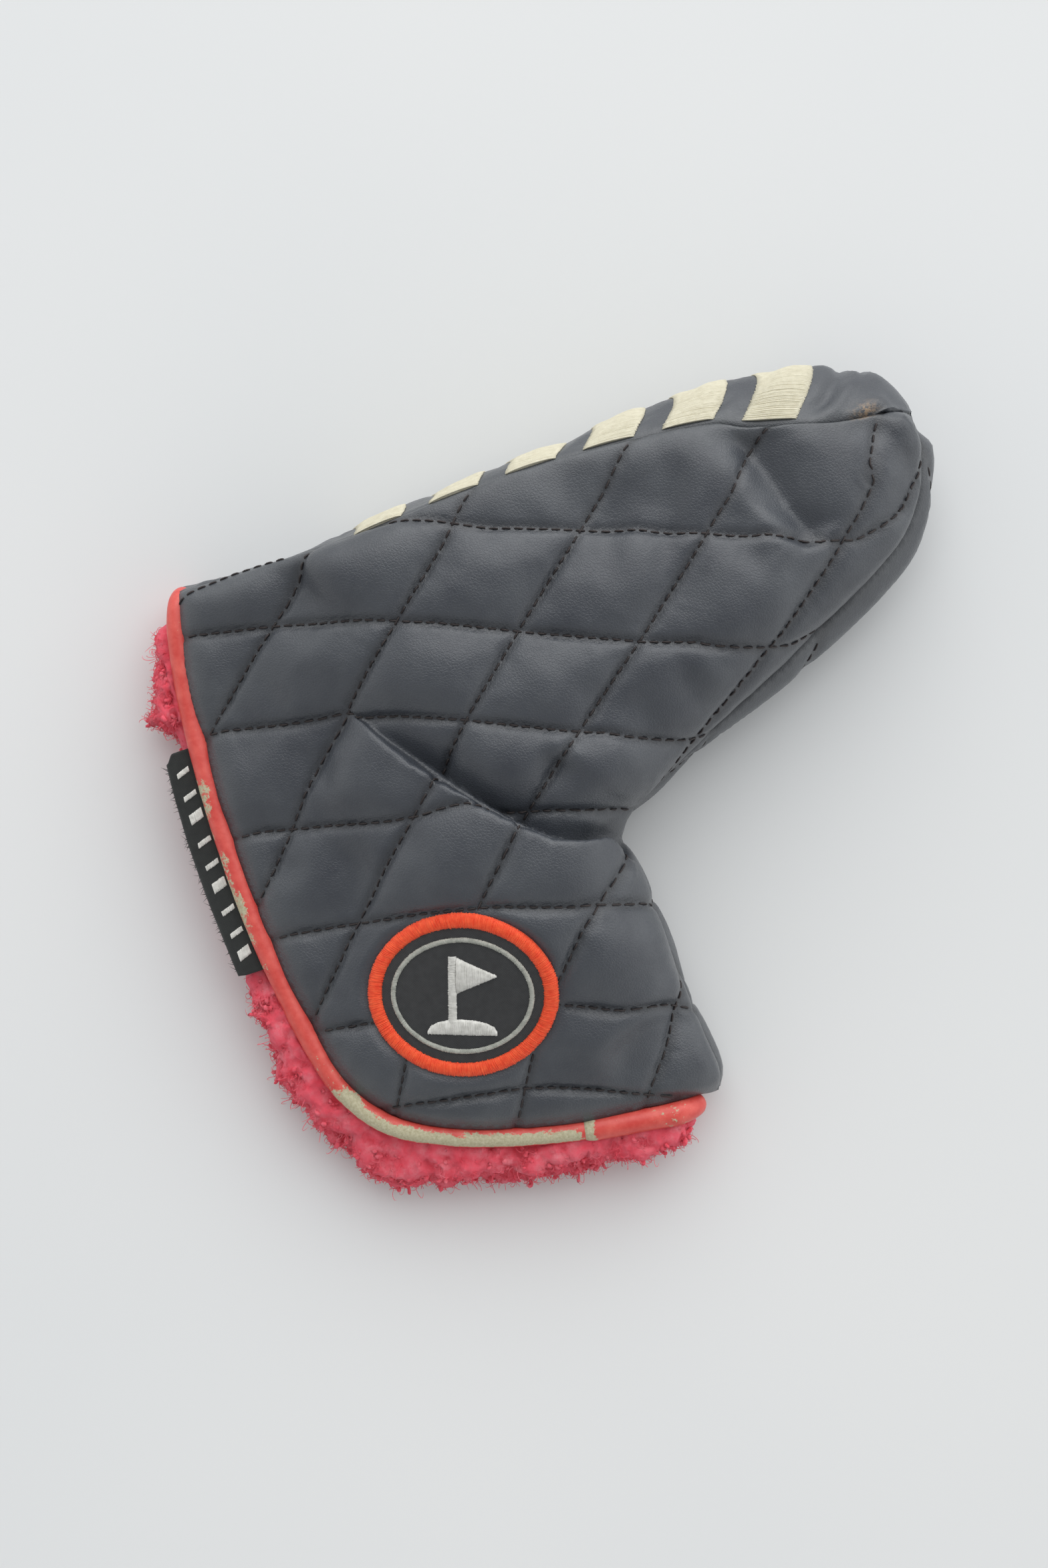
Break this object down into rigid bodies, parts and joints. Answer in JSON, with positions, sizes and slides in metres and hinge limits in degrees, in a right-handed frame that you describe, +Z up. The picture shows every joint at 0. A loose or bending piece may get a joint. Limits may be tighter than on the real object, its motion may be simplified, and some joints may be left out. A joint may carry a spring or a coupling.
{
  "type": "putter head cover",
  "caption": "L-shaped quilted leather head cover for a blade putter, fleece lined, with a piped mouth down the heel edge and across the leg, a round badge, and a lip that lifts.",
  "frame": {"origin": "centre of the bounding box, on the floor the cover lies on", "axes": "+X from heel to toe along the sole, +Y from the leg's mouth to the sole, +Z up from the far side to the near side"},
  "size_m": [0.1772, 0.1531, 0.038],
  "materials": {
    "quilted_leather": "satin coated grain",
    "foam": "open-cell",
    "fleece": "matted pile",
    "red_leather": "satin, worn",
    "cord": "twisted",
    "cream_thread": "satin stitch",
    "orange_thread": "satin stitch",
    "grey_thread": "satin stitch",
    "badge_cloth": "woven",
    "label_cloth": "woven",
    "hook_and_loop": "hooks and loops"
  },
  "bodies": {
    "cover": {"near_side_panel": "quilted_leather", "near_side_padding": "foam", "near_side_lining": "fleece", "far_side_panel": "quilted_leather", "far_side_padding": "foam", "far_side_lining": "fleece", "sole_gusset": "quilted_leather", "sole_gusset_padding": "foam", "sole_gusset_lining": "fleece", "sole_embroidery": "cream_thread", "far_mouth_piping": "red_leather", "far_mouth_piping_cord": "cord", "hook_strip": "hook_and_loop"},
    "lip": {"near_lip_panel": "quilted_leather", "near_lip_padding": "foam", "near_lip_lining": "fleece", "near_mouth_piping": "red_leather", "near_mouth_piping_cord": "cord", "piping_lap": "red_leather", "patch_base": "badge_cloth", "patch_border": "orange_thread", "patch_inner_ring": "grey_thread", "patch_emblem": "cream_thread", "loop_strip": "hook_and_loop"},
    "label": {"woven_label": "label_cloth"}
  },
  "joints": [
    {"name": "mouth_open", "type": "hinge", "parent": "cover", "child": "lip", "pos_m": [-0.0376, -0.001, 0.0385], "axis": [-0.4809, 0.8767, 0], "range_deg": [0, 25], "stiffness_Nm_per_rad": 0.03},
    {"name": "label_flap", "type": "hinge", "parent": "lip", "child": "label", "pos_m": [-0.0832, 0.0135, 0.0158], "axis": [0, 1, 0], "range_deg": [0, 80], "stiffness_Nm_per_rad": 0.0005}
  ]
}
